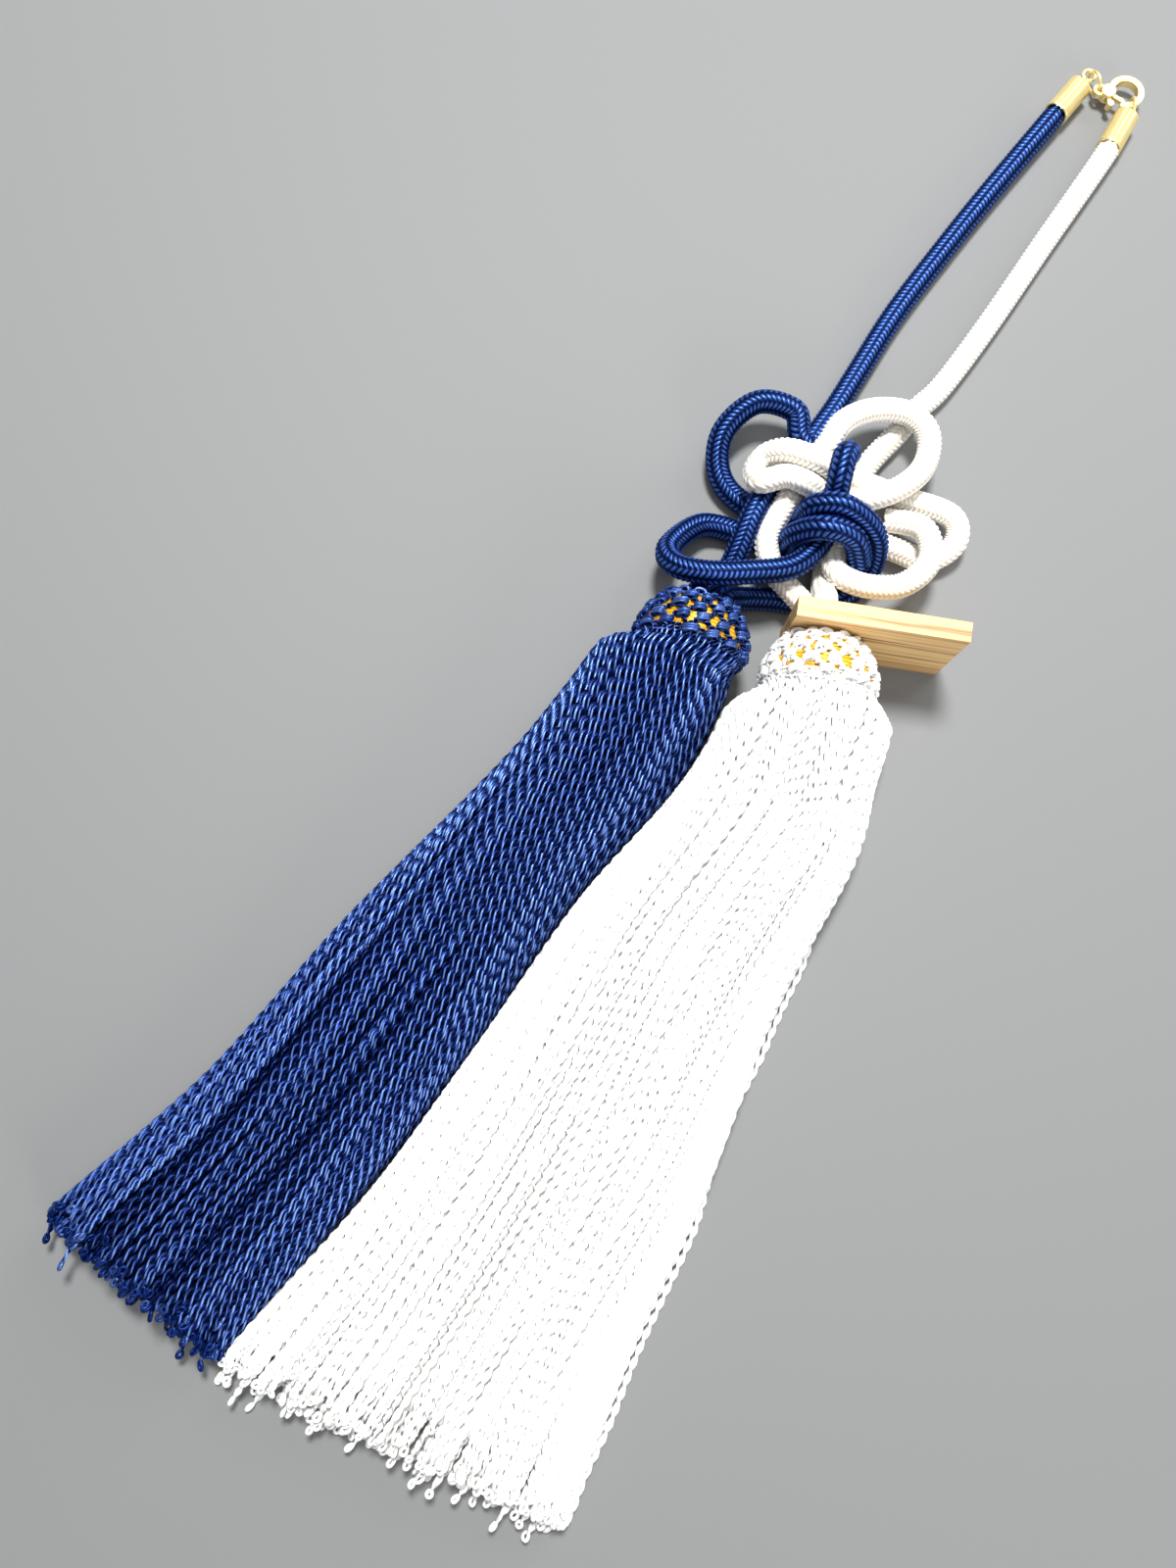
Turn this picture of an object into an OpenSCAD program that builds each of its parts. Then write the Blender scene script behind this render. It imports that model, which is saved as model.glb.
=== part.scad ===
/*
Knotted tassel. A navy and a white braided cord are tied together in a decorative knot. Each
leaves the knot as a straight run to a gold cord cap, and ends below the knot in a netted
tassel head with a long twisted fringe. The white cords pass through a small wooden plate.
A jump ring and a lobster clasp close the two cord caps on each other.

Units are millimetres. The tassel lies on z = 0. +Y runs from the fringe to the clasp, and
the origin is under the middle of the whole piece.
*/

/* [Cord] */
// Thickness of the round braided cords
cord_d = 5; // [4.8:0.1:5]

/* [Cord caps] */
// Outer diameter of the folded metal caps
cap_d = 6.2; // [6.1:0.1:6.2]
// Diameter of the space that grips the cord
cap_bore_d = 5.2; // [5.1:0.1:5.4]
// Length of a cap without its eye
cap_length = 10.4; // [9:0.2:10.4]
// Width of the seam where the two flaps meet
cap_seam = 0.5; // [0.3:0.1:0.8]

/* [Jump ring] */
// Outer diameter of the jump ring
jump_ring_d = 5.4; // [5.2:0.1:5.6]
// Thickness of the ring wire
ring_wire_d = 0.7; // [0.6:0.05:0.8]

/* [Lobster clasp] */
// Outer radius of the clasp's hook
hook_outer_r = 4.15; // [4:0.05:4.2]
// Inner radius of the clasp's hook
hook_inner_r = 2.8; // [2.75:0.05:2.85]
// Thickness of the hook
hook_thickness = 1.8; // [1.4:0.1:2]
// Thickness of the clasp where it carries the lever
cheek_thickness = 2.4; // [2.2:0.1:2.6]
// Thickness of the lever
lever_thickness = 1; // [0.8:0.05:1]
// Radius of the lever's pivot pin
pivot_r = 0.45; // [0.35:0.05:0.5]
// Room around the lever and its pin
lever_play = 0.05; // [0.03:0.01:0.08]

/* [Wooden plate] */
// Long side of the plate
plate_length = 34; // [30:1:36]
// Thickness of the plate
plate_thickness = 4; // [3.5:0.25:4.25]
// Height at which the plate stands
plate_height = 24; // [19:1:24]
// Width of the slot for the white cords
slot_width = 5.8; // [5.6:0.1:6]

/* [Tassel heads] */
// Radius of a head at its rim
head_r = 12.5; // [12:0.1:12.5]
// Length of a head from its rim to its crown, before the crown is flattened
head_length = 13.2; // [12.8:0.1:13.2]
// Radius of the flat crown where the cords enter
crown_r = 8; // [7.9:0.1:8.4]
// Thickness of the knotted net
net_thickness = 1.6; // [1.2:0.1:2]

/* [Fringe] */
// How full the sides of the fringe are: 1 is an arch, and less is squarer
fringe_fullness = 0.55; // [0.4:0.05:1]

/* [Hidden] */
// Smallest gap left between two pieces that touch on the real tassel
seat_gap = 0.3;

// The white head stands upright on its rim's edge, with its axis level
white_head_at = [16.8, 2, head_r];
white_head_turn = 22.5;
navy_head_at = [-9.6, -4.6, head_r];
navy_head_turn = 15;

// The two white cords lie one above the other in the plate's slot
plate_at = [20.6, 17.2, 0];
plate_turn = 22.5;
slot_at = [-10.7, 0, 12.5];
stacked_cords = 5.2;

// Mouths of the two cord caps, and the way that each cap points
navy_cap_at = [-4.7, 152.3, 3.1];
navy_cap_turn = -7.9;
white_cap_at = [9.85, 150.2, 3.1];
white_cap_turn = 2;
cap_end_wall = 0.8;
cap_neck_d = 1.4;
navy_eye_r = 1.4;
navy_eye_reach = 2.9;
white_eye_r = 1.8;
white_eye_reach = 2.8;
white_eye_turn = -27;
eye_wire_d = 0.8;

jump_ring_at = [-0.95, 164.35, 3.1];
jump_ring_turn = -37;

// Centre of the clasp's hook, and the rest of the clasp from there
clasp_at = [6.45, 165.4, 3.1];
pivot_at = [-3.55, -2];
small_eye_at = [-5.35, -2.4];
small_eye_r = 1.5;
small_eye_hole_r = 0.75;
small_eye_thickness = 1.2;
hub_r = 1.6;
lever_hub_r = 0.95;
lever_width = 0.9;
// Where the lever ends at rest, just inside the tip of the hook
lever_tip = [0.25, -2.2];
thumb_reach = [1.86, -2.48];
thumb_r = 0.75;
thumb_height = 1.8;
// The hook is open between these two angles, where the lever closes it
mouth_from = 206;
mouth_to = 276;

// Sides of a cord tube, and rings between two points of its route
cord_sides = 8;
rings_per_point = 2;

// Routes of the cords' centre lines, each from the piece that it leaves.
// navy_route runs from its cap straight through the knot to the navy head.
navy_route = [
    [-3.53, 160.7, 3.1], [-4.84, 151.3, 3.1], [-8, 127, 2.6], [-10, 108, 2.5],
    [-11.5, 89, 2.5], [-11.5, 72, 2.5], [-11.5, 62, 2.5], [-12, 54, 2.5], [-12.5, 46, 2.5],
    [-13, 40, 4.5], [-13.7, 34, 8], [-13.5, 28, 9], [-12.5, 22, 7.5], [-12, 17, 5.5],
    [-12.8, 13, 4.8], [-14.2, 10, 7], [-14.6, 7.7, 8.6], [-14.4, 5.3, 8.8]
];
// white_route runs from its cap straight through the knot and the plate to the white head.
white_route = [
    [9.55, 158.7, 3.1], [9.89, 149.2, 3.1], [8.5, 121.5, 2.6], [7.5, 98, 2.5],
    [6, 79.5, 2.5], [4, 71.5, 2.5], [3, 64, 2.5], [1.5, 56.5, 2.5], [1, 49.5, 2.5],
    [1.5, 43, 2.5], [3, 36.5, 2.5], [5, 30, 2.6], [6.3, 25.8, 4.2], [7.6, 22, 8.5],
    [8.8, 18.4, 14], [9.7, 15.6, 15.1], [11.5, 11.4, 15.1]
];
// navy_knot_route leaves the navy head, ties the navy loops and ends tucked in the knot.
navy_knot_route = [
    [-9.4, 7, 8.8], [-9.3, 9.4, 8.2], [-6.8, 12.8, 4.4], [-1, 16.8, 2.8], [5, 19.3, 2.6],
    [10, 22.4, 2.6], [13, 28, 2.9], [13.4, 32.8, 6], [11.4, 36.1, 11.5], [6.9, 36.7, 16],
    [1.5, 35.8, 18.3], [-2.8, 34, 16], [-4, 33.2, 9.5], [-6.8, 33, 3.8], [-18.5, 32.5, 2.7],
    [-25.5, 35.5, 4], [-28.8, 42.5, 7], [-25.8, 51.2, 8.6], [-18, 54, 8.1],
    [-13.7, 49.7, 7.3], [-7.5, 48.8, 6.7], [-3.7, 49.7, 8.5], [-3, 49.2, 13],
    [-3.1, 46, 17.5], [-2, 42, 17.6], [-0.3, 38.2, 14], [1.5, 33.5, 11.5], [1.4, 27, 11.9],
    [-1, 20.9, 12.8], [-7.6, 15.2, 13.8], [-15, 10.6, 13.6], [-21.5, 9.5, 11.5],
    [-25, 13.5, 8], [-22, 23, 3.8], [-11.5, 26.8, 2.7], [-5, 27.7, 4.4], [-3.5, 28.3, 12],
    [0.8, 30, 17.6], [7, 31.9, 16.2], [11, 30.4, 10.8]
];
// white_knot_route leaves the white head, ties the white loops and ends tucked in the knot.
white_knot_route = [
    [11.5, 11.4, 9.9], [9.7, 15.6, 9.9], [6, 17.7, 7.2], [0.5, 19.2, 7.6], [-4.2, 21, 7.5],
    [-8.4, 26, 8.2], [-9, 34, 9], [-9.1, 41, 8.8], [-7.9, 48.9, 11.9], [-7.6, 56, 11],
    [-3.5, 63, 8.7], [3, 66.5, 8], [8.8, 64.8, 8], [11.6, 58.8, 8.5], [10.9, 51.6, 10.8],
    [6.5, 44.6, 11], [-0.5, 40.7, 8.8], [-7.3, 38.4, 13.7], [-11.5, 37.2, 14.2],
    [-15.4, 34.1, 13], [-18, 36.4, 10.8], [-17.5, 40.2, 12], [-14, 42, 14.8],
    [-8, 43.2, 15.2], [-3.4, 44.4, 12.6], [3, 47.4, 8.2], [10, 50, 5.3], [22, 52.3, 5.3],
    [26, 48, 4.3], [23, 42, 3.2], [16, 40, 4], [9.3, 38.2, 5.2], [5.6, 33.5, 7.8],
    [5.9, 28.6, 9], [9, 25.5, 11.6], [15, 26.6, 11.6], [21, 31.2, 10.8], [23, 39, 10],
    [18.5, 45.3, 8], [10.5, 43.8, 6]
];

// Outlines of the fringes on the surface, from the head's rim to the ends of the strands.
// Columns: left edge x, left edge y, right edge x, right edge y, height of the fringe there.
navy_fringe_rows = [
    [-22.5, -8.4, 2.2, -1.9, 24.5],
    [-26.2, -12.4, 1.6, -8, 24.5],
    [-27.4, -24.5, 2.9, -20, 22.5],
    [-29.3, -39, 2.6, -33, 20],
    [-33.2, -57.7, -2, -60, 17.5],
    [-40.2, -89.4, -4, -97, 15.5],
    [-47, -127.2, -6.8, -131, 14],
    [-57.3, -161, -13, -164, 13],
    [-55.3, -165, -14, -169, 11]
];
white_fringe_rows = [
    [5.6, -3, 28.1, 6.3, 24.5],
    [3.4, -9.3, 32.3, 2.9, 24.5],
    [4, -20, 37.4, -8.6, 23],
    [3.5, -33, 41, -24.7, 20.5],
    [-1.2, -60, 43.2, -58, 17],
    [-3.2, -97, 49.8, -97, 14],
    [-5.9, -131, 53, -130, 11.5],
    [-12.2, -164, 57.4, -160, 9.5],
    [-13.2, -169.5, 51, -167, 8]
];
fringe_arch_steps = 12;
fringe_rings_per_row = 3;

function unit(v) = v / norm(v);

// A curve through a list of points or rows, with the given number of steps between two
function curve_between(a, b, c, d, t) =
    0.5 * (2 * b + (c - a) * t + (2 * a - 5 * b + 4 * c - d) * t * t
        + (3 * b - a - 3 * c + d) * t * t * t);
function before(rows) = 2 * rows[0] - rows[1];
function after(rows) = 2 * rows[len(rows) - 1] - rows[len(rows) - 2];
function row_at(rows, i) = i < 0 ? before(rows) : i >= len(rows) ? after(rows) : rows[i];
function smooth(rows, steps) = [
    for (i = [0:len(rows) - 2], k = [0:steps - 1])
        curve_between(row_at(rows, i - 1), rows[i], rows[i + 1], row_at(rows, i + 2), k / steps),
    rows[len(rows) - 1]
];

// Direction of travel at each point of a path
function headings(path) = [
    for (i = [0:len(path) - 1])
        unit(path[min(i + 1, len(path) - 1)] - path[max(i - 1, 0)])
];

// A direction across the path at each point, carried along without twist
function carried_sides(dirs) = [
    for (i = 0, side = unit(cross(dirs[0], [0, 0, 1]));
        i < len(dirs);
        i = i + 1, side = i < len(dirs) ? unit(side - (side * dirs[i]) * dirs[i]) : side)
        side
];

// A closed solid through a row of rings that all have the same number of points
module loft(rings) {
    n = len(rings[0]);
    last = (len(rings) - 1) * n;
    polyhedron(
        points = [for (ring = rings) each ring],
        faces = [
            for (i = [0:n:last - n], k = [0:n - 1]) [i + k, i + (k + 1) % n, i + n + k],
            for (i = [0:n:last - n], k = [0:n - 1])
                [i + (k + 1) % n, i + n + (k + 1) % n, i + n + k],
            for (k = [1:n - 2]) [0, k + 1, k],
            for (k = [1:n - 2]) [last, last + k, last + k + 1]
        ],
        convexity = 6
    );
}

// A round cord along a route. Its lowest side never sinks below the surface.
module cord(route) {
    path = [
        for (p = smooth(route, rings_per_point)) [p.x, p.y, max(p.z, cord_d / 2)]
    ];
    dirs = headings(path);
    sides = carried_sides(dirs);
    loft([
        for (i = [0:len(path) - 1]) [
            for (k = [0:cord_sides - 1])
                let (a = (k + 0.5) * 360 / cord_sides)
                path[i] + cord_d / 2 * (cos(a) * sides[i] - sin(a) * cross(sides[i], dirs[i]))
        ]
    ]);
}

module navy_cord() {
    color("midnightblue") cord(navy_route);
}

module navy_knot_cord() {
    color("midnightblue") cord(navy_knot_route);
}

module white_cord() {
    color("ivory") cord(white_route);
}

module white_knot_cord() {
    color("ivory") cord(white_knot_route);
}

// A ring of round wire around the Z axis
module wire_ring(r, wire_d) {
    rotate_extrude($fn = 48)
        translate([r, 0])
            circle(d = wire_d, $fn = 24);
}

// A cord cap that points along +Z, with its seam facing -Y and its eye beyond its closed end
module cord_cap(eye_r, eye_reach, eye_tilt) {
    difference() {
        cylinder(h = cap_length, d = cap_d, $fn = 48);
        translate([0, 0, -1])
            cylinder(h = cap_length - cap_end_wall + 1, d = cap_bore_d, $fn = 48);
        translate([-cap_seam / 2, -cap_d, -1])
            cube([cap_seam, cap_d, cap_length - cap_end_wall + 1]);
    }
    translate([0, 0, cap_length - cap_end_wall / 2])
        cylinder(h = eye_reach - eye_r + cap_end_wall / 2, d = cap_neck_d, $fn = 24);
    translate([0, 0, cap_length + eye_reach])
        rotate(eye_tilt)
            wire_ring(eye_r, eye_wire_d);
}

// The eye lies flat, so that the jump ring stands in it
module navy_cord_cap() {
    color("gold")
        translate(navy_cap_at)
            rotate([0, 0, navy_cap_turn])
                rotate([-90, 0, 0])
                    cord_cap(navy_eye_r, navy_eye_reach, [90, 0, 0]);
}

// The eye stands upright and faces along the hook that passes through it
module white_cord_cap() {
    color("gold")
        translate(white_cap_at)
            rotate([0, 0, white_cap_turn])
                rotate([-90, 0, 0])
                    cord_cap(white_eye_r, white_eye_reach, [0, 90 + white_eye_turn, 0]);
}

module jump_ring() {
    color("gold")
        translate(jump_ring_at)
            rotate([90, 0, jump_ring_turn])
                wire_ring(jump_ring_d / 2 - ring_wire_d / 2, ring_wire_d);
}

// A flat slab of the given thickness, half above and half below the clasp's middle
module slab(thickness) {
    translate([0, 0, -thickness / 2])
        linear_extrude(thickness)
            children();
}

// A bar between two points, with round ends
module rounded_bar(from, to, width) {
    length = norm(to - from);
    translate(from)
        rotate(atan2(to.y - from.y, to.x - from.x)) {
            translate([0, -width / 2]) square([length, width]);
            circle(d = width, $fn = 32);
            translate([length, 0]) circle(d = width, $fn = 32);
        }
}

// The room that the lever swings in: around its hub, and a sector towards the hook
module lever_room() {
    translate(pivot_at) {
        circle(r = lever_hub_r + 0.2, $fn = 48);
        intersection() {
            circle(r = hub_r + 1, $fn = 48);
            polygon([[0, 0], [0.9, -5], [5, -5], [5, 5], [3.9, 5]]);
        }
    }
}

module clasp_body() {
    color("gold")
        translate(clasp_at) {
            difference() {
                union() {
                    slab(hook_thickness)
                        difference() {
                            circle(r = hook_outer_r, $fn = 96);
                            circle(r = hook_inner_r, $fn = 96);
                            polygon([
                                [0, 0],
                                9 * [cos(mouth_from), sin(mouth_from)],
                                9 * [cos((mouth_from + mouth_to) / 2),
                                    sin((mouth_from + mouth_to) / 2)],
                                9 * [cos(mouth_to), sin(mouth_to)]
                            ]);
                        }
                    slab(cheek_thickness)
                        translate(pivot_at) circle(r = hub_r, $fn = 64);
                    slab(small_eye_thickness) {
                        translate(small_eye_at) circle(r = small_eye_r, $fn = 48);
                        rounded_bar(small_eye_at, pivot_at, 1.4);
                    }
                }
                slab(small_eye_thickness + 1)
                    translate(small_eye_at) circle(r = small_eye_hole_r, $fn = 32);
                slab(lever_thickness + 2 * lever_play) lever_room();
            }
            slab(cheek_thickness)
                translate(pivot_at) circle(r = pivot_r, $fn = 32);
        }
}

// The gate bar, its hub and the thumb piece that pulls it open
module clasp_lever() {
    color("goldenrod")
        translate(clasp_at)
            difference() {
                union() {
                    slab(lever_thickness) {
                        translate(pivot_at) circle(r = lever_hub_r, $fn = 48);
                        rounded_bar(pivot_at, lever_tip, lever_width);
                        rounded_bar(pivot_at, pivot_at + thumb_reach, lever_width);
                    }
                    slab(thumb_height)
                        translate(pivot_at + thumb_reach) circle(r = thumb_r, $fn = 32);
                }
                slab(thumb_height)
                    translate(pivot_at) circle(r = pivot_r + lever_play, $fn = 32);
            }
}

// An upright plate with one tall slot for the two white cords
module wood_plate() {
    color("burlywood")
        translate(plate_at)
            rotate([0, 0, plate_turn])
                difference() {
                    translate([-plate_length / 2, -plate_thickness / 2, 0])
                        cube([plate_length, plate_thickness, plate_height]);
                    translate(slot_at)
                        for (side = [-1, 1])
                            translate([0, plate_thickness, side * stacked_cords / 2])
                                rotate([90, 0, 0])
                                    cylinder(h = 2 * plate_thickness, d = slot_width, $fn = 48);
                    translate(slot_at)
                        translate([-slot_width / 2, -plate_thickness, -stacked_cords / 2])
                            cube([slot_width, 2 * plate_thickness, stacked_cords]);
                }
}

// A dome on its rim with a flat crown, each size smaller by inset
module dome(inset) {
    r = head_r - inset;
    tall = head_length - inset;
    flat_r = crown_r - inset / 2;
    flat_from = acos(flat_r / r);
    steps = 8;
    rotate_extrude($fn = 96)
        polygon([
            [0, 0],
            for (i = [0:steps])
                let (a = flat_from * i / steps)
                [r * cos(a), tall * sin(a)],
            [0, tall * sin(flat_from)]
        ]);
}

// Lays a head on its side, with its crown towards the knot
module laid(at, turn) {
    translate(at)
        rotate([0, 0, turn])
            rotate([-90, 0, 0])
                children();
}

// The outer form of the knotted net, open at the rim
module head_net() {
    difference() {
        dome(0);
        translate([0, 0, -0.01]) dome(net_thickness);
    }
}

module navy_head_net() {
    color("navy") laid(navy_head_at, navy_head_turn) head_net();
}

module white_head_net() {
    color("ivory") laid(white_head_at, white_head_turn) head_net();
}

// The wound core that shows through the holes of the net
module navy_head_kernel() {
    color("goldenrod") laid(navy_head_at, navy_head_turn) dome(net_thickness + seat_gap);
}

module white_head_kernel() {
    color("goldenrod") laid(white_head_at, white_head_turn) dome(net_thickness + seat_gap);
}

// A fringe that lies on its flat side and thins out towards its ends
module fringe(rows) {
    loft([
        for (row = smooth(rows, fringe_rings_per_row)) [
            for (k = [0:fringe_arch_steps])
                let (a = 180 * k / fringe_arch_steps,
                    middle = [row[0] + row[2], row[1] + row[3]] / 2,
                    half = [row[2] - row[0], row[3] - row[1]] / 2,
                    p = middle + cos(a) * half,
                    rise = k == 0 || k == fringe_arch_steps ? 0 : pow(sin(a), fringe_fullness))
                [p.x, p.y, row[4] * rise]
        ]
    ]);
}

module navy_skirt() {
    color("navy") fringe(navy_fringe_rows);
}

module white_skirt() {
    color("ivory") fringe(white_fringe_rows);
}

navy_cord();
navy_knot_cord();
white_cord();
white_knot_cord();
navy_cord_cap();
white_cord_cap();
jump_ring();
clasp_body();
clasp_lever();
wood_plate();
navy_head_kernel();
navy_head_net();
white_head_kernel();
white_head_net();
navy_skirt();
white_skirt();
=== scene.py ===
import math

import bpy
import numpy as np
from mathutils import Matrix, Vector


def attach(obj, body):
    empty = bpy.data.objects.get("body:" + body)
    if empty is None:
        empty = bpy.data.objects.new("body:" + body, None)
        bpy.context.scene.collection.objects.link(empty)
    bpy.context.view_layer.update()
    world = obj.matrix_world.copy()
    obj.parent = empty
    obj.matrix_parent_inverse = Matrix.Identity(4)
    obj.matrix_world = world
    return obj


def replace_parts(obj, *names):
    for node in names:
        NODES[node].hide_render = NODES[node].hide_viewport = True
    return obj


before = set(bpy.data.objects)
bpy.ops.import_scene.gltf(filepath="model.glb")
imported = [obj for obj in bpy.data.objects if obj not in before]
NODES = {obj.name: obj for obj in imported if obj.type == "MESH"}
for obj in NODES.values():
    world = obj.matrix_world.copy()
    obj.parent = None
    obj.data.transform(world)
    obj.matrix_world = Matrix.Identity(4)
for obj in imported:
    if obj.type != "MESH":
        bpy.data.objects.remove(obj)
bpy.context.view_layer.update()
MM = 0.001
UP = np.array([0.0, 0.0, 1.0])
TURN = 2 * math.pi


# Geometry helpers. Lengths are millimetres until a mesh is made, and metres for the camera, the
# floor and the lights.
def unit(v):
    return v / np.linalg.norm(v, axis=-1, keepdims=True)


def smooth_line(points, per=16):
    """The same Catmull-Rom line through the points that part.scad sweeps its cords along."""
    p = np.asarray(points, float)
    e = np.vstack([2 * p[0] - p[1], p, 2 * p[-1] - p[-2]])
    t = np.linspace(0, 1, per, endpoint=False)[:, None]
    out = []
    for i in range(1, len(p)):
        a, b, c, d = e[i - 1], e[i], e[i + 1], e[i + 2]
        bend = (2 * a - 5 * b + 4 * c - d) * t**2
        out.append(0.5 * (2 * b + (c - a) * t + bend + (3 * b - a - 3 * c + d) * t**3))
    out.append(p[-1:])
    return np.vstack(out)


def run_of(line):
    """The length run at each point of a line."""
    return np.concatenate([[0], np.cumsum(np.linalg.norm(np.diff(line, axis=0), axis=1))])


def sample(s, at, values):
    """Rows of values, given at the places at, read between them at the places s."""
    return np.stack([np.interp(s, at, values[:, k]) for k in range(values.shape[1])], -1)


def even(line, step):
    """The line at even steps, and the length run at each point."""
    at = run_of(line)
    s = np.linspace(0, at[-1], max(2, int(round(at[-1] / step))) + 1)
    return sample(s, at, line), s


def smoothstep(x):
    """A smooth rise from 0 to 1 as x goes from 0 to 1."""
    x = np.clip(x, 0, 1)
    return x * x * (3 - 2 * x)


def cut(line, length):
    """The first part of a line."""
    at = run_of(line)
    return np.vstack([line[at < length], sample(np.array([length]), at, line)])


class Heap:
    """Collects tubes and other grids, and makes one mesh of them. Each point has a relief, from 0 in a
    crease to 1 on a crest, and a tint, and the thread materials colour it by both: the relief paints
    shade into the creases and highlights onto the crests, and the tint shifts the colour, as a random
    tone for each thread or, set low, as painted shade on hidden threads."""

    def __init__(self):
        self.verts, self.quads, self.uvs, self.relief, self.tint = [], [], [], [], []
        self.caps, self.count = [], 0

    def grid(self, verts, relief, tint, around, along, joined=False):
        """verts is rings x sides x 3, and each ring is closed. joined joins the last ring to the
        first. Otherwise a face fills each end. around and along are the UV map's values."""
        rings, sides = verts.shape[:2]
        ring = np.arange(rings if joined else rings - 1)[:, None]
        side = np.arange(sides)[None, :]
        here, ahead = ring * sides, (ring + 1) % rings * sides
        other = (side + 1) % sides
        quads = np.stack([here + side, here + other, ahead + other, ahead + side], -1)
        side, ring = np.broadcast_arrays(side, ring)
        u = np.stack([around[side], around[side + 1], around[side + 1], around[side]], -1)
        v = np.stack([along[ring], along[ring], along[ring + 1], along[ring + 1]], -1)
        self.quads.append(quads.reshape(-1, 4) + self.count)
        self.uvs.append(np.stack([u, v], -1).reshape(-1, 4, 2))
        if not joined:
            one_ring = np.arange(sides) + self.count
            self.caps += [one_ring[::-1], one_ring + (rings - 1) * sides]
        self.verts.append(verts.reshape(-1, 3))
        self.relief.append(np.broadcast_to(relief, (rings, sides)).reshape(-1))
        self.tint.append(np.full(rings * sides, tint))
        self.count += rings * sides

    def piece(self, name, material, slot, sharp=None):
        """The mesh object, in metres, riding on the tassel. Edges whose relief is sharp or less
        are creases."""
        co = (np.vstack(self.verts) * MM).astype(np.float32)
        quads = np.vstack(self.quads)
        total = np.concatenate([np.full(len(quads), 4), [len(c) for c in self.caps]])
        total = total.astype(np.int32)
        loops = np.concatenate([quads.ravel()] + list(self.caps)).astype(np.int32)
        mesh = bpy.data.meshes.new(name)
        mesh.vertices.add(len(co))
        mesh.vertices.foreach_set("co", co.ravel())
        mesh.loops.add(len(loops))
        mesh.loops.foreach_set("vertex_index", loops)
        mesh.polygons.add(len(total))
        mesh.polygons.foreach_set("loop_start", (np.cumsum(total) - total).astype(np.int32))
        mesh.polygons.foreach_set("loop_total", total)
        mesh.update(calc_edges=True)
        mesh.polygons.foreach_set("use_smooth", np.ones(len(total), bool))
        uv = np.zeros((len(loops), 2), np.float32)
        uv[: 4 * len(quads)] = np.vstack(self.uvs).reshape(-1, 2)
        mesh.uv_layers.new(name="UVMap").data.foreach_set("uv", uv.ravel())
        for key, data in (("relief", self.relief), ("tint", self.tint)):
            values = np.concatenate(data).astype(np.float32)
            mesh.attributes.new(key, "FLOAT", "POINT").data.foreach_set("value", values)
        if sharp is not None:
            low = np.concatenate(self.relief) <= sharp
            ends = np.empty(len(mesh.edges) * 2, np.int32)
            mesh.edges.foreach_get("vertices", ends)
            ends = ends.reshape(-1, 2)
            flag = low[ends[:, 0]] & low[ends[:, 1]]
            mesh.attributes.new("sharp_edge", "BOOLEAN", "EDGE").data.foreach_set("value", flag)
        mesh.materials.append(material)
        mesh.update()
        ob = bpy.data.objects.new(name, mesh)
        bpy.context.scene.collection.objects.link(ob)
        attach(ob, "tassel")
        return ob


# A two-ply thread's outline: two round plies side by side, with a crease between them
OUTLINE = np.array([
    [1, 0], [0.68, 0.44], [0, 0.2], [-0.68, 0.44], [-1, 0], [-0.68, -0.44], [0, -0.2], [0.68, -0.44]])
# Relief at each point of the outline: a painted highlight on the plies' tips and painted shade in the
# crease between them
OUTLINE_RELIEF = np.array([1, 0.6, 0, 0.6, 1, 0.6, 0, 0.6])
# The same with fewer points, for threads that are mostly hidden
ROUGH_OUTLINE = np.array([[0.85, 0.4], [0, 0.2], [-0.85, 0.4], [-0.85, -0.4], [0, -0.2], [0.85, -0.4]])
# Its relief likewise paints highlight on the plies and shade in the crease
ROUGH_RELIEF = np.array([1, 0, 1, 1, 0, 1.0])
PLY_R = 0.36
# How thin a thread is at its two ends, and how fine its filaments are in the UV map
FIRST_TAPER, LAST_TAPER = 0.6, 0.55
UV_ROUND_THREAD = 5
UV_ROUND_RING = 2
# The relief below which a thread's edges are creases
CREASE = 0.1


def thread(heap, line, rng, radius=0.68, step=1.0, pitch=6.0, ref=UP, tint=0.5, rough=False,
           taper=True):
    """Adds a two-ply thread, twisted to the left as the photo's are, along the line. step is the
    distance between its rings, pitch the length in which the plies turn once, and ref the way
    that is up. rough takes the outline with fewer points. Returns the line that it follows."""
    at = run_of(line)
    s = np.linspace(0, at[-1], max(2, int(round(at[-1] / step))) + 1)
    ref = np.broadcast_to(np.asarray(ref, float), line.shape)
    ref, line = sample(s, at, ref), sample(s, at, line)
    tan = unit(np.gradient(line, axis=0))
    side = unit(np.cross(ref, tan))
    up = np.cross(tan, side)
    outline, relief = (ROUGH_OUTLINE, ROUGH_RELIEF) if rough else (OUTLINE, OUTLINE_RELIEF)
    turn = rng.uniform(0, TURN) - TURN * s / pitch
    cos, sin = np.cos(turn)[:, None], np.sin(turn)[:, None]
    size = np.full(len(s), float(radius))
    if taper:
        size[0] *= FIRST_TAPER
        size[-1] *= LAST_TAPER
    x = (outline[:, 0] * cos - outline[:, 1] * sin) * size[:, None]
    y = (outline[:, 0] * sin + outline[:, 1] * cos) * size[:, None]
    verts = line[:, None] + x[..., None] * side[:, None] + y[..., None] * up[:, None]
    heap.grid(verts, relief[None, :], tint, np.linspace(0, UV_ROUND_THREAD, len(outline) + 1), s)
    return line


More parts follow.
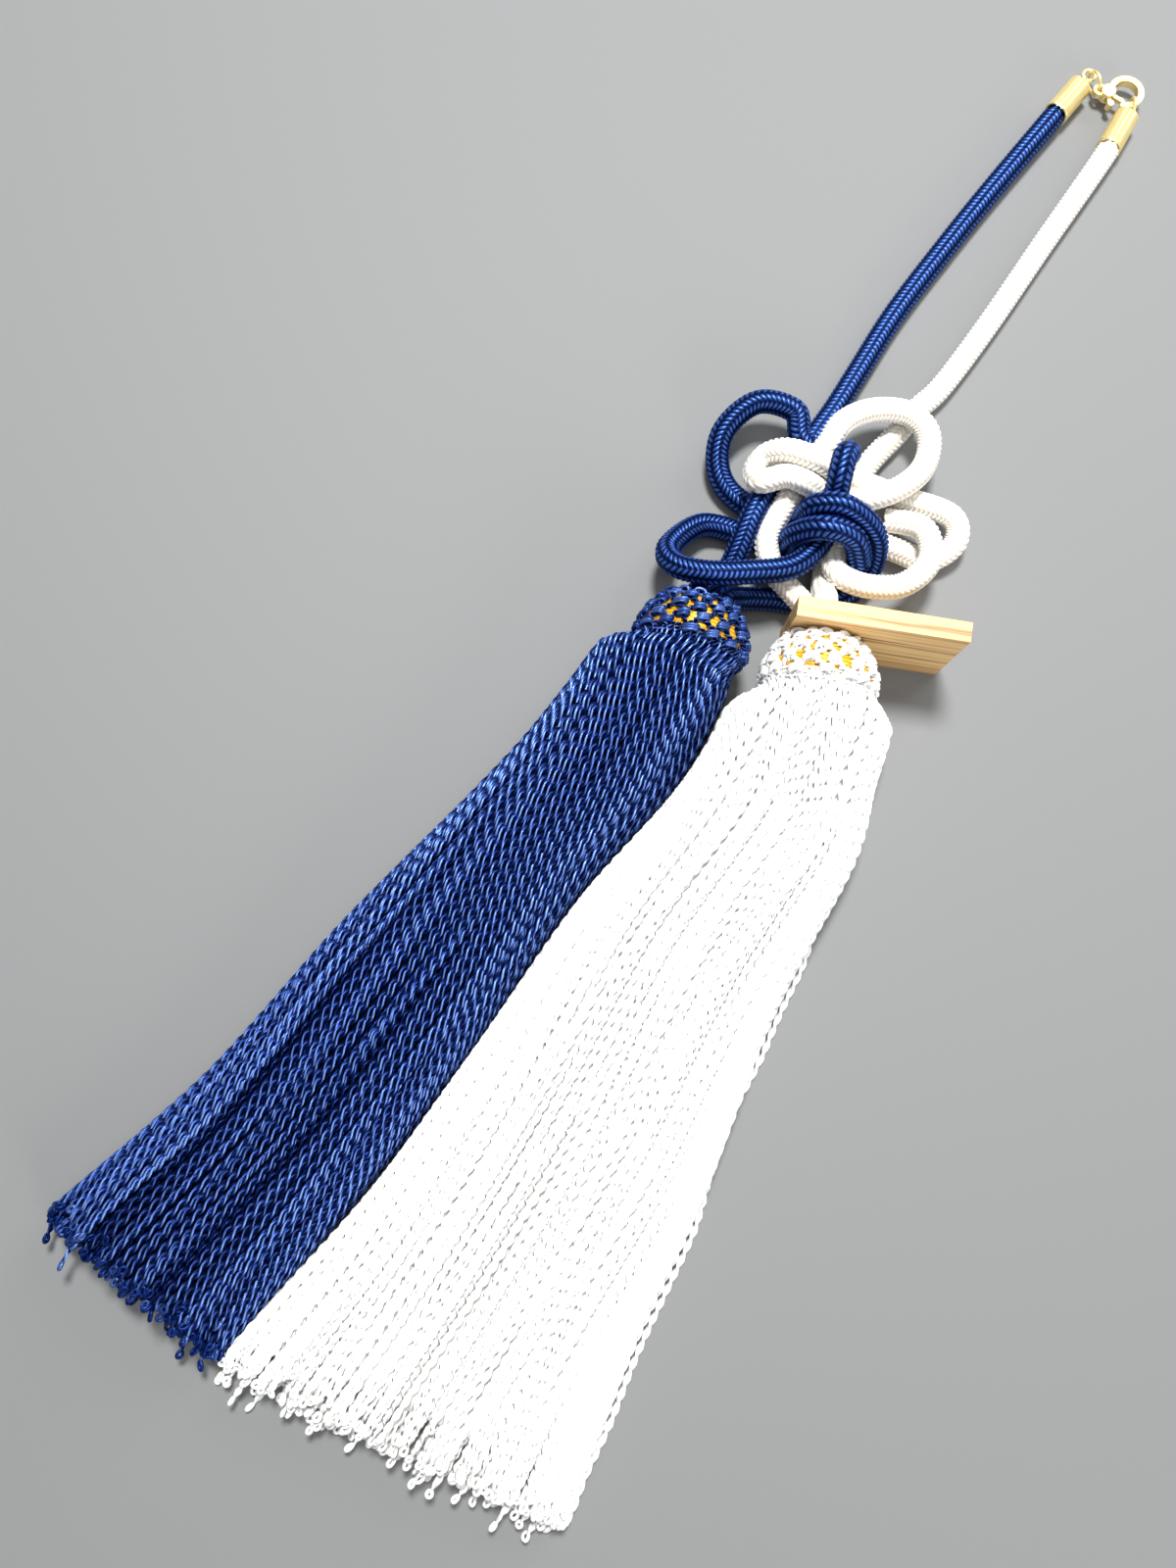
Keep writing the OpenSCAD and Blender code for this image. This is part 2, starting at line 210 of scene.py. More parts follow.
def ring_tube(heap, points, radius, normal, sides=6, tint=0.5, relief=0.9):
    """Adds a closed round ring through the points."""
    tan = unit(np.roll(points, -1, 0) - np.roll(points, 1, 0))
    side = unit(np.cross(normal, tan))
    up = np.cross(tan, side)
    a = np.arange(sides) / sides * TURN
    around = np.cos(a)[None, :, None] * side[:, None] + np.sin(a)[None, :, None] * up[:, None]
    steps = np.linspace(0, TURN, len(points) + 1)
    verts = points[:, None] + radius * around
    heap.grid(verts, relief, tint, np.linspace(0, UV_ROUND_RING, sides + 1), steps, joined=True)


# Materials
def new_material(name):
    """A material with its nodes, links and main shader."""
    mat = bpy.data.materials.new(name)
    mat.use_nodes = True
    nodes, links = mat.node_tree.nodes, mat.node_tree.links
    return mat, nodes, links, nodes["Principled BSDF"]


def ramp(nodes, stops):
    """A colour ramp with a place and a colour for each stop."""
    node = nodes.new("ShaderNodeValToRGB")
    elements = node.color_ramp.elements
    while len(elements) < len(stops):
        elements.new(0.5)
    for element, (at, colour) in zip(elements, stops):
        element.position, element.color = at, (*colour, 1)
    return node


def math_node(nodes, links, operation, first, second, third=None):
    """A sum or product of sockets and numbers."""
    node = nodes.new("ShaderNodeMath")
    node.operation = operation
    for socket, value in zip(node.inputs, (first, second, third)):
        if isinstance(value, bpy.types.NodeSocket):
            links.new(value, socket)
        elif value is not None:
            socket.default_value = value
    return node.outputs[0]


def noise_node(nodes, links, vector, scale, detail, distortion=0.0):
    """Noise from 0 to 1 at a vector."""
    node = nodes.new("ShaderNodeTexNoise")
    node.inputs["Scale"].default_value = scale
    node.inputs["Detail"].default_value = detail
    node.inputs["Distortion"].default_value = distortion
    links.new(vector, node.inputs["Vector"])
    return node.outputs[0]


def mapped(nodes, links, vector, scale=(1, 1, 1), rotation=(0, 0, 0)):
    """A vector that is turned and scaled."""
    node = nodes.new("ShaderNodeMapping")
    node.inputs["Scale"].default_value = scale
    node.inputs["Rotation"].default_value = rotation
    links.new(vector, node.inputs[0])
    return node.outputs[0]


def add_bump(nodes, links, height, bsdf, strength):
    """Fine relief of the surface, 0.1 mm high."""
    bump = nodes.new("ShaderNodeBump")
    bump.inputs["Strength"].default_value = strength
    bump.inputs["Distance"].default_value = 0.0001
    links.new(height, bump.inputs["Height"])
    links.new(bump.outputs[0], bsdf.inputs["Normal"])


def thread_material(name, deep, mid, bright, roughness, specular_tint, metallic=0.0, specular=0.5,
                    sheen=0.1):
    """Twisted silky thread. The relief paints shade in the crease and a highlight on the crest, with
    fine filaments along each ply; the tint shifts the colour, as a tone or as painted shade.
    """
    mat, nodes, links, bsdf = new_material(name)
    uv = nodes.new("ShaderNodeUVMap")
    uv.uv_map = "UVMap"
    along = mapped(nodes, links, uv.outputs[0], (5.0, 0.5, 1))
    fibre = noise_node(nodes, links, along, 1.6, 4)
    relief = nodes.new("ShaderNodeAttribute")
    relief.attribute_name = "relief"
    tint = nodes.new("ShaderNodeAttribute")
    tint.attribute_name = "tint"
    # The relief, with the filament noise, picks the colour: painted shade in the creases, painted
    # highlight on the crests
    lit = math_node(nodes, links, "MULTIPLY_ADD", fibre, 0.35, relief.outputs["Fac"])
    shifted = math_node(nodes, links, "MULTIPLY_ADD", tint.outputs["Fac"], 0.35, lit)
    colour = ramp(nodes, [(0.25, deep), (0.6, mid), (0.87, bright)])
    links.new(math_node(nodes, links, "MULTIPLY", shifted, 0.6), colour.inputs[0])
    links.new(colour.outputs[0], bsdf.inputs["Base Color"])
    add_bump(nodes, links, fibre, bsdf, 0.25)
    bsdf.inputs["Roughness"].default_value = roughness
    bsdf.inputs["Metallic"].default_value = metallic
    bsdf.inputs["Specular IOR Level"].default_value = specular
    bsdf.inputs["Specular Tint"].default_value = (*specular_tint, 1)
    bsdf.inputs["Sheen Weight"].default_value = sheen
    bsdf.inputs["Sheen Tint"].default_value = (*specular_tint, 1)
    return mat


NAVY_GLOSS = dict(roughness=0.36, specular_tint=(0.4, 0.55, 1), metallic=0.6, specular=0.25,
                  sheen=0)
WHITE_TINT = (1, 1, 1)
# The three colours run from crease to crest: painted shade in the creases, the thread's own colour,
# and a painted highlight on the crests
NAVY_THREAD = thread_material("navy_twisted_thread", (0.0001, 0.001, 0.014), (0.005, 0.021, 0.14),
                              (0.24, 0.41, 0.97), **NAVY_GLOSS)
NAVY_BRAID = thread_material("navy_braided_cord", (0.0001, 0.001, 0.01), (0.008, 0.024, 0.12),
                             (0.08, 0.19, 0.64), **NAVY_GLOSS)
WHITE_THREAD = thread_material("white_twisted_thread", (0.8, 0.79, 0.76), (0.9, 0.895, 0.88),
                               (0.935, 0.93, 0.92), roughness=0.6, specular_tint=WHITE_TINT)
WHITE_BRAID = thread_material("white_braided_cord", (0.72, 0.64, 0.5), (0.92, 0.89, 0.82),
                              (0.96, 0.955, 0.93), roughness=0.5, specular_tint=WHITE_TINT)
GOLD_THREAD = thread_material("gold_wound_thread", (0.5, 0.2, 0.01), (0.9, 0.5, 0.02),
                              (1.0, 0.72, 0.06), roughness=0.3, specular_tint=(1, 0.85, 0.5),
                              metallic=0.3)


def gold_material():
    """Thin polished gold plating with small smears in its shine."""
    mat, nodes, links, bsdf = new_material("polished_gold_plate")
    place = nodes.new("ShaderNodeTexCoord")
    smears = noise_node(nodes, links, place.outputs["Object"], 150, 2)
    colour = ramp(nodes, [(0.3, (1.0, 0.78, 0.33)), (0.7, (1.0, 0.84, 0.42))])
    links.new(smears, colour.inputs[0])
    links.new(colour.outputs[0], bsdf.inputs["Base Color"])
    rough = nodes.new("ShaderNodeMapRange")
    rough.inputs["To Min"].default_value = 0.34
    rough.inputs["To Max"].default_value = 0.46
    links.new(smears, rough.inputs["Value"])
    links.new(rough.outputs[0], bsdf.inputs["Roughness"])
    bsdf.inputs["Metallic"].default_value = 0.7
    return mat


# Degrees that the plate and the white head are turned from the frame's axes
PLATE_TURN = 22.5


def wood_material():
    """Planed softwood: fine straight growth rings along the plate's length, and fine pores."""
    mat, nodes, links, bsdf = new_material("bare_planed_softwood")
    place = nodes.new("ShaderNodeTexCoord")
    turned = mapped(nodes, links, place.outputs["Object"],
                    rotation=(0, 0, -math.radians(PLATE_TURN)))
    broad = noise_node(nodes, links, mapped(nodes, links, turned, (9, 330, 300)), 1.0, 3, 0.3)
    fine = noise_node(nodes, links, mapped(nodes, links, turned, (12, 420, 1250)), 1.0, 1)
    pores = noise_node(nodes, links, mapped(nodes, links, turned, (90, 2400, 4200)), 1.0, 2)
    soft = math_node(nodes, links, "MULTIPLY", broad, 0.5)
    grain = math_node(nodes, links, "MULTIPLY_ADD", fine, 0.7, soft)
    total = math_node(nodes, links, "MULTIPLY_ADD", pores, 0.15, grain)
    colour = ramp(nodes, [(0.55, (0.3, 0.14, 0.06)), (0.61, (0.68, 0.4, 0.17)),
                          (0.67, (0.86, 0.57, 0.24)), (0.82, (0.9, 0.64, 0.28))])
    links.new(total, colour.inputs[0])
    links.new(colour.outputs[0], bsdf.inputs["Base Color"])
    add_bump(nodes, links, total, bsdf, 0.3)
    bsdf.inputs["Roughness"].default_value = 0.55
    return mat


GOLD = gold_material()
WOOD = wood_material()

# Camera: the photo's, 244 mm above the floor, turned 32 degrees and tilted 10 degrees
LENS_AT = (0.0095, -0.074, 0.244)
LENS_TURN, LENS_TILT = math.radians(32), math.radians(10)
SENSOR = 36
FOCAL_PIXELS, PHOTO_HIGH_PIXELS = 1202, 1600
flat_up = Vector((-math.sin(LENS_TURN), math.cos(LENS_TURN), 0))
down = Vector((0, 0, -1))
forward = down * math.cos(LENS_TILT) + flat_up * math.sin(LENS_TILT)
camera_up = flat_up * math.cos(LENS_TILT) - down * math.sin(LENS_TILT)
right = forward.cross(camera_up)
camera = bpy.data.objects.new("camera", bpy.data.cameras.new("camera"))
bpy.context.scene.collection.objects.link(camera)
camera.matrix_world = Matrix((
    (right.x, camera_up.x, -forward.x, LENS_AT[0]),
    (right.y, camera_up.y, -forward.y, LENS_AT[1]),
    (right.z, camera_up.z, -forward.z, LENS_AT[2]),
    (0, 0, 0, 1)))
camera.data.sensor_fit = "AUTO"
camera.data.sensor_width = SENSOR
camera.data.lens = SENSOR * FOCAL_PIXELS / PHOTO_HIGH_PIXELS
camera.data.clip_start = 0.01
bpy.context.scene.camera = camera

# A plain pale floor
FAR = 3
floor_mesh = bpy.data.meshes.new("floor")
corners = [(-FAR, -FAR, 0), (FAR, -FAR, 0), (FAR, FAR, 0), (-FAR, FAR, 0)]
floor_mesh.from_pydata(corners, [], [(0, 1, 2, 3)])
floor = bpy.data.objects.new("floor", floor_mesh)
bpy.context.scene.collection.objects.link(floor)
floor_mat, _, _, floor_bsdf = new_material("pale_floor")
floor_bsdf.inputs["Base Color"].default_value = (0.2, 0.205, 0.205, 1)
floor_bsdf.inputs["Roughness"].default_value = 0.7
floor_mesh.materials.append(floor_mat)


def area_light(name, at, size, power):
    """A soft round lamp that points at the middle of the piece."""
    data = bpy.data.lights.new(name, "AREA")
    data.shape = "DISK"
    data.size, data.energy = size, power
    ob = bpy.data.objects.new(name, data)
    bpy.context.scene.collection.objects.link(ob)
    ob.location = at
    ob.rotation_euler = (-Vector(at)).to_track_quat("-Z", "Y").to_euler()


# The photo's light comes from high above the clasp's end and casts short, dark shadows
area_light("key", (-0.17, 0.3, 0.85), 0.2, 13.0)
area_light("back", (0.25, 1.15, 0.6), 0.8, 6.5)
area_light("overhead", (0.1, -0.15, 1.1), 0.7, 2.0)
area_light("fill", (0.9, -0.5, 0.45), 0.4, 4.5)
world = bpy.data.worlds.new("world")
world.use_nodes = True
background = world.node_tree.nodes["Background"]
background.inputs["Color"].default_value = (0.95, 0.97, 1, 1)
background.inputs["Strength"].default_value = 0.28
bpy.context.scene.world = world
bpy.context.scene.view_settings.view_transform = "Standard"

# Cords. Their routes are those of part.scad.
NAVY_ROUTE = [
    (-3.53, 160.7, 3.1), (-4.84, 151.3, 3.1), (-8, 127, 2.6), (-10, 108, 2.5),
    (-11.5, 89, 2.5), (-11.5, 72, 2.5), (-11.5, 62, 2.5), (-12, 54, 2.5), (-12.5, 46, 2.5),
    (-13, 40, 4.5), (-13.7, 34, 8), (-13.5, 28, 9), (-12.5, 22, 7.5), (-12, 17, 5.5),
    (-12.8, 13, 4.8), (-14.2, 10, 7), (-14.6, 7.7, 8.6), (-14.4, 5.3, 8.8)]
WHITE_ROUTE = [
    (9.55, 158.7, 3.1), (9.89, 149.2, 3.1), (8.5, 121.5, 2.6), (7.5, 98, 2.5),
    (6, 79.5, 2.5), (4, 71.5, 2.5), (3, 64, 2.5), (1.5, 56.5, 2.5), (1, 49.5, 2.5),
    (1.5, 43, 2.5), (3, 36.5, 2.5), (5, 30, 2.6), (6.3, 25.8, 4.2), (7.6, 22, 8.5),
    (8.8, 18.4, 14), (9.7, 15.6, 15.1), (11.5, 11.4, 15.1)]
NAVY_KNOT_ROUTE = [
    (-9.4, 7, 8.8), (-9.3, 9.4, 8.2), (-6.8, 12.8, 4.4), (-1, 16.8, 2.8), (5, 19.3, 2.6),
    (10, 22.4, 2.6), (13, 28, 2.9), (13.4, 32.8, 6), (11.4, 36.1, 11.5), (6.9, 36.7, 16),
    (1.5, 35.8, 18.3), (-2.8, 34, 16), (-4, 33.2, 9.5), (-6.8, 33, 3.8), (-18.5, 32.5, 2.7),
    (-25.5, 35.5, 4), (-28.8, 42.5, 7), (-25.8, 51.2, 8.6), (-18, 54, 8.1),
    (-13.7, 49.7, 7.3), (-7.5, 48.8, 6.7), (-3.7, 49.7, 8.5), (-3, 49.2, 13),
    (-3.1, 46, 17.5), (-2, 42, 17.6), (-0.3, 38.2, 14), (1.5, 33.5, 11.5), (1.4, 27, 11.9),
    (-1, 20.9, 12.8), (-7.6, 15.2, 13.8), (-15, 10.6, 13.6), (-21.5, 9.5, 11.5),
    (-25, 13.5, 8), (-22, 23, 3.8), (-11.5, 26.8, 2.7), (-5, 27.7, 4.4), (-3.5, 28.3, 12),
    (0.8, 30, 17.6), (7, 31.9, 16.2), (11, 30.4, 10.8)]
WHITE_KNOT_ROUTE = [
    (11.5, 11.4, 9.9), (9.7, 15.6, 9.9), (6, 17.7, 7.2), (0.5, 19.2, 7.6), (-4.2, 21, 7.5),
    (-8.4, 26, 8.2), (-9, 34, 9), (-9.1, 41, 8.8), (-7.9, 48.9, 11.9), (-7.6, 56, 11),
    (-3.5, 63, 8.7), (3, 66.5, 8), (8.8, 64.8, 8), (11.6, 58.8, 8.5), (10.9, 51.6, 10.8),
    (6.5, 44.6, 11), (-0.5, 40.7, 8.8), (-7.3, 38.4, 13.7), (-11.5, 37.2, 14.2),
    (-15.4, 34.1, 13), (-18, 36.4, 10.8), (-17.5, 40.2, 12), (-14, 42, 14.8),
    (-8, 43.2, 15.2), (-3.4, 44.4, 12.6), (3, 47.4, 8.2), (10, 50, 5.3), (22, 52.3, 5.3),
    (26, 48, 4.3), (23, 42, 3.2), (16, 40, 4), (9.3, 38.2, 5.2), (5.6, 33.5, 7.8),
    (5.9, 28.6, 9), (9, 25.5, 11.6), (15, 26.6, 11.6), (21, 31.2, 10.8), (23, 39, 10),
    (18.5, 45.3, 8), (10.5, 43.8, 6)]
CORD_D = 5.0
# A braid: its radius on the crests, the length of a stitch, how deep the creases are, how far a
# stitch slants, and its columns of stitches
CREST_R = 2.62
STITCH = 1.05
RINGS_PER_STITCH = 4
STITCH_DEPTH = 0.36
SLANT = 0.5
COLUMNS, PER_COLUMN = 8, 4
# Share of its thickness that a cord keeps where a cap grips it, and the length over which it
# swells to its full thickness
GRIPPED, SWELL = 0.82, 2.2
# A stitch's roundness along the cord, and how high its sides are across it
ROUNDNESS, SIDE_HEIGHT = 0.8, 0.25
# UV units for each millimetre of a braid, round it and along it
BRAID_UV_ROUND, BRAID_UV_ALONG = 0.12, 2.0
# The lowest that a braid or a fringe's core may lie
FLOOR_GAP, CORE_FLOOR_GAP = 0.01, 0.1


def carried_frames(line):
    """Tangent, side and up at each point, the side carried along without twist."""
    tan = unit(np.gradient(line, axis=0))
    side = np.empty_like(tan)
    s = np.cross(tan[0], UP)
    for i, t in enumerate(tan):
        s = s - t * (s @ t)
        s /= np.linalg.norm(s)
        side[i] = s
    return tan, side, np.cross(tan, side)


def braided_cord(name, route, material, slot, gripped=0.0):
    """A round eight-strand braid. Its rings zigzag with the stitches, so that each stitch has
    its own crease. A cap grips the cord for the length gripped, where it is thinner."""
    line, s = even(smooth_line(route), STITCH / RINGS_PER_STITCH)
    side, up = carried_frames(line)[1:]
    sides = COLUMNS * PER_COLUMN
    j = np.arange(sides)
    column = j // PER_COLUMN
    u = (j % PER_COLUMN) / PER_COLUMN * 2 - 1
    shift = SLANT * u * np.where(column % 2 == 0, 1.0, -1.0)
    v = (np.arange(len(s))[:, None] / RINGS_PER_STITCH + 0.5 * (column % 2)[None, :]) % 1
    along = np.sqrt(np.clip(1 - (2 * v - 1) ** 2, 0, 1)) ** ROUNDNESS
    across = (1 - u**2) ** 0.5 * (1 - SIDE_HEIGHT) + SIDE_HEIGHT
    relief = across[None, :] * along
    radius = CREST_R - STITCH_DEPTH * (1 - relief)
    if gripped:
        swollen = smoothstep((s - gripped) / SWELL)
        radius = radius * (GRIPPED + (1 - GRIPPED) * swollen)[:, None]
    where = np.clip(s[:, None] + shift[None, :], 0, s[-1])
    middle, at_side, at_up = [sample(where, s, a) for a in (line, side, up)]
    theta = TURN * j / sides
    out = np.cos(theta)[None, :, None] * at_side + np.sin(theta)[None, :, None] * at_up
    heap = Heap()
    around = np.linspace(0, np.pi * CORD_D, sides + 1) * BRAID_UV_ROUND
    verts = middle + radius[..., None] * out
    verts[..., 2] = np.maximum(verts[..., 2], FLOOR_GAP)
    # The relief paints shade into each stitch's creases and a highlight onto its crest
    heap.grid(verts, relief, 0.5, around, s * BRAID_UV_ALONG)
    ob = heap.piece(name, material, slot)
    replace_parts(ob, name.replace("_braid", ""))


braided_cord("navy_cord_braid", NAVY_ROUTE, NAVY_BRAID, "navy_braid", gripped=8.0)
braided_cord("white_cord_braid", WHITE_ROUTE, WHITE_BRAID, "white_braid", gripped=6.8)
braided_cord("navy_knot_cord_braid", NAVY_KNOT_ROUTE, NAVY_BRAID, "navy_braid")
braided_cord("white_knot_cord_braid", WHITE_KNOT_ROUTE, WHITE_BRAID, "white_braid")

# Fringes. The rows are part.scad's, fitted a little closer to the strands in the photo.
# Columns: left x, left y, right x, right y, height, and how far the top of the side where the
# two fringes meet leans to the left.
NAVY_ROWS = [
    (-23, -8.5, 2.6, -1.8, 24.5, 0), (-26.6, -12.4, 2.4, -8, 24.5, -0.5),
    (-27.8, -24.5, 3.5, -20, 22.5, -1.5), (-29.7, -39, 3.4, -33, 20, -2),
    (-33.6, -57.7, -1.6, -60, 17.5, -2), (-40.5, -89.4, -3.4, -97, 15.5, -2),
    (-46.6, -127.2, -6.8, -131, 14, -1.5), (-56.6, -161, -12, -164, 13, -1),
    (-57.4, -164.5, -12, -170, 11.5, -1)]
WHITE_ROWS = [
    (4.9, -3.3, 29.2, 6.7, 24.5, 0), (2.8, -9.5, 34.4, 3.6, 24.5, -0.5),
    (3.8, -20, 37.8, -8.8, 23, -1.5), (3.2, -33, 42.2, -24.5, 20.5, -2),
    (-1.5, -60, 43.8, -58, 17, -2.2), (-3.6, -97, 50.4, -97, 14, -2.2),
    (-6.6, -131, 53.6, -129, 11.5, -1.8), (-13.2, -164, 58.6, -156, 9.5, -1),
    (-14.2, -171.5, 58.8, -159.5, 8.0, -1)]
# How square a fringe's cross-section is, from 1 for an ellipse to 0 for a box
FULLNESS = 0.55
HEAD_R = 12.5
# The strands leave the head in a ring that is open below: its radius, the angle where it
# begins and the angle that it spans. It turns into the fringe's own form from RING_STARTS on,
# over RING_LENGTH.
STRAND_RING_R = 11.2
RING_FROM, RING_SPAN = math.radians(-62), math.radians(304)
RING_STARTS, RING_LENGTH = -1.2, 7.0
# The depth of a strand that lies at the surface
AT_SURFACE = 0.75
# The eyes at the strands' ends get one middle relief, darker than the painted highlight on the
# strands' crests
EYE_RELIEF = 0.62
# A strand's sideways wave is measured in strands, of which a fringe has about this many
WAVE_SCALE = 66
# The least share of the way over a fringe's top at which a strand lies
OUTERMOST = 0.004
# The length of the strands' ends inside, the distance between them in a row, the height of
# each row as a share of the fringe's, and how much shorter than the strands the core is
INNER_LENGTH, INNER_GAP = 20, 1.75
INNER_LEVELS = (0.04, 0.27, 0.5, 0.72)
CORE_SHORTER = 9
# Strands in the second layer for each one outside
SECOND_LAYER = 0.9


class Fringe:
    """The outer form of a fringe, and places on and in it."""

    def __init__(self, rows, head_at, head_turn, meeting_side):
        rows = smooth_line(rows, 24)
        self.middle = (rows[:, 0:2] + rows[:, 2:4]) / 2
        self.half = (rows[:, 2:4] - rows[:, 0:2]) / 2
        self.wide = np.linalg.norm(self.half, axis=1)
        self.tall, self.lean, self.meeting_side = rows[:, 4], rows[:, 5], meeting_side
        self.s = run_of(self.middle)
        self.head = np.array(head_at, float)
        turn = math.radians(head_turn)
        self.axis = np.array([-math.sin(turn), math.cos(turn), 0])
        self.across = np.array([math.cos(turn), math.sin(turn), 0])
        self.a = np.linspace(0, np.pi, 2001)
        self.f_head, self.f_end = self.contour(10), self.contour(-1)

    def contour(self, i):
        """The share of the way over the top of row i, at each angle."""
        x = self.wide[i] * np.cos(self.a)
        z = self.tall[i] * np.sin(self.a) ** FULLNESS
        run = np.concatenate([[0], np.cumsum(np.hypot(np.diff(x), np.diff(z)))])
        return run / run[-1]

    def line(self, f, depth, weight):
        """A strand's line. f is its share of the contour at each row, depth how far it lies
        inside, and weight how evenly the strands are spread at the ends."""
        w = weight * smoothstep(self.s / self.s[-1])
        a = (1 - w) * np.interp(f, self.f_head, self.a) + w * np.interp(f, self.f_end, self.a)
        share = (self.wide - depth) / self.wide * np.cos(a)
        z = depth + (self.tall - 2 * depth) * np.sin(a) ** FULLNESS
        z = np.maximum(z, AT_SURFACE)
        xy = self.middle + self.half * share[:, None]
        xy[:, 0] += self.lean * (z / self.tall) * (1 + self.meeting_side * np.cos(a)) / 2
        body = np.hstack([xy, z[:, None]])
        b = RING_FROM + RING_SPAN * (a / np.pi)
        r = STRAND_RING_R - np.clip(depth - AT_SURFACE, 0, 3)
        outward = np.cos(b)[:, None] * self.across + np.sin(b)[:, None] * UP
        ring = self.head + r[:, None] * outward - self.axis * self.s[:, None]
        k = smoothstep((self.s - RING_STARTS) / RING_LENGTH)[:, None]
        body = ring * (1 - k) + body * k
        return np.vstack([ring[0] + self.axis * 0.7, body])

    def inner(self, u, v, first, last):
        """A line inside the form, at share u of its width and v of its height."""
        s = np.linspace(first, last, 16)
        mid, half = sample(s, self.s, self.middle), sample(s, self.s, self.half)
        tall = np.interp(s, self.s, self.tall) * (1 - u * u) ** (FULLNESS / 2)
        way = unit(self.middle[-1] - self.middle[-20])
        beyond = np.maximum(s - self.s[-1], 0)[:, None] * way
        z = AT_SURFACE + (tall - 2 * AT_SURFACE) * v
        return np.hstack([mid + half * u * 0.96 + beyond, z[:, None]])


def strand_eye(heap, line, rng, tint):
    """The little eye that ends a strand that is folded and twisted on itself."""
    end, tan = line[-1], unit(line[-1] - line[-3])
    sway = np.array([rng.normal(0, 0.3), rng.normal(0, 0.3), rng.normal(-0.05, 0.2)])
    tan = unit(tan + sway)
    flat = unit(np.cross(tan, UP))
    tilt = rng.uniform(-1.3, 1.3)
    side = flat * math.cos(tilt) + np.cross(tan, flat) * math.sin(tilt)
    a = np.arange(10) / 10 * TURN
    half_long, half_wide = rng.uniform(0.7, 1.0), rng.uniform(0.42, 0.62)
    forward_part = half_long * (0.85 - np.cos(a))
    across_part = half_wide * np.sin(a) * (1 - 0.25 * np.cos(a))
    p = end + tan * forward_part[:, None] + side * across_part[:, None]
    p[:, 2] += max(0, PLY_R - p[:, 2].min())
    ring_tube(heap, p, PLY_R, np.cross(tan, side), 5, tint, EYE_RELIEF)


def furrows(rng, count, width, depth):
    """Narrow valleys between groups of strands, as a depth for each strand and row."""
    found = []
    for _ in range(count):
        first = rng.uniform(0.02, 0.75)
        found.append((rng.uniform(0.15, 0.85), rng.normal(0, 0.03), first,
                      first + rng.uniform(0.25, 0.6), width * rng.uniform(0.6, 1.3),
                      depth * rng.uniform(0.6, 1.2)))

    def depth_at(f, s):
        total = 0 * s
        for middle, drift, first, last, wide, deep in found:
            near = np.exp(-(((f - middle - drift * (s - first)) / wide) ** 2))
            total += deep * near * smoothstep((s - first) / 0.1) * smoothstep((last - s) / 0.1)
        return total

    return depth_at


def outer_strands(halves, shape, rng, count, strand_r, weight, ragged, valley):
    """The strands that show, in turn on two heaps. weight is how evenly they are spread at the
    ends, and ragged how much their ends differ."""
    s = shape.s / shape.s[-1]
    for k in range(count):
        wave = 0
        for n in (1, 2, 4):
            wave = wave + rng.normal(0, 0.4 / n) * np.sin(TURN * (n * s * 0.9 + rng.random()))
        f = (k + 0.5) / count + wave * s**0.5 / WAVE_SCALE
        if rng.random() < 0.12:
            drift = rng.choice([-1, 1]) * rng.uniform(2, 6) / WAVE_SCALE
            f = f + drift * smoothstep((s - rng.uniform(0.1, 0.5)) * 2.5)
        f = np.clip(f, OUTERMOST, 1 - OUTERMOST)
        uneven = rng.normal(0.2, 0.28) + rng.normal(0, 0.25) * np.sin(TURN * (s + rng.random()))
        depth = strand_r + 0.03 + np.clip(uneven, 0, 0.9) + valley(f, s)
        line = shape.line(f, depth, weight)
        line = cut(line, run_of(line)[-1] - abs(rng.normal(0, ragged)) - 1.5)
        tint = rng.random()
        heap = halves[k % 2]
        path = thread(heap, line, rng, strand_r, tint=tint, pitch=rng.uniform(5.6, 6.4))
        strand_eye(heap, path, rng, tint)


def stray_strands(heap, shape, rng, strays, strand_r, weight):
    """Loose strands beside the fringe. Each has a side, a first and last share of the length
    where it stands out, and how far out."""
    s = shape.s / shape.s[-1]
    for side, first, last, out in strays:
        f = np.full(len(s), 0.012 if side > 0 else 0.988)
        apart = smoothstep((s - first) / 0.08) * smoothstep((last - s) / 0.1)
        line = shape.line(f, 0.8 - out * apart, weight)
        line[:, 2] = np.minimum(line[:, 2], 3 + 12 * (1 - np.append(0, s)))
        line = cut(line, run_of(line)[-1] - 2)
        path = thread(heap, line, rng, strand_r)
        strand_eye(heap, path, rng, 0.5)


def second_layer(heap, shape, rng, count, strand_r, weight, ragged, depth, shade):
    """Strands under the outer ones, seen between them. shade is their least tint: set low, it paints
    them dark as shade under the outer strands.
    """
    for k in range(count):
        f = np.clip((k + rng.uniform(0.2, 0.8)) / count, 0.01, 0.99) + 0 * shape.s
        line = shape.line(f, depth + 0 * shape.s, weight)
        length = run_of(line)[-1]
        line = cut(line, length - abs(rng.normal(0, ragged)) - 1)
        line = line[run_of(line) > 0.15 * length]
        tint = rng.random()
        path = thread(heap, line, rng, strand_r, 1.5, tint=shade + tint * 0.4, rough=True)
        strand_eye(heap, path, rng, tint)


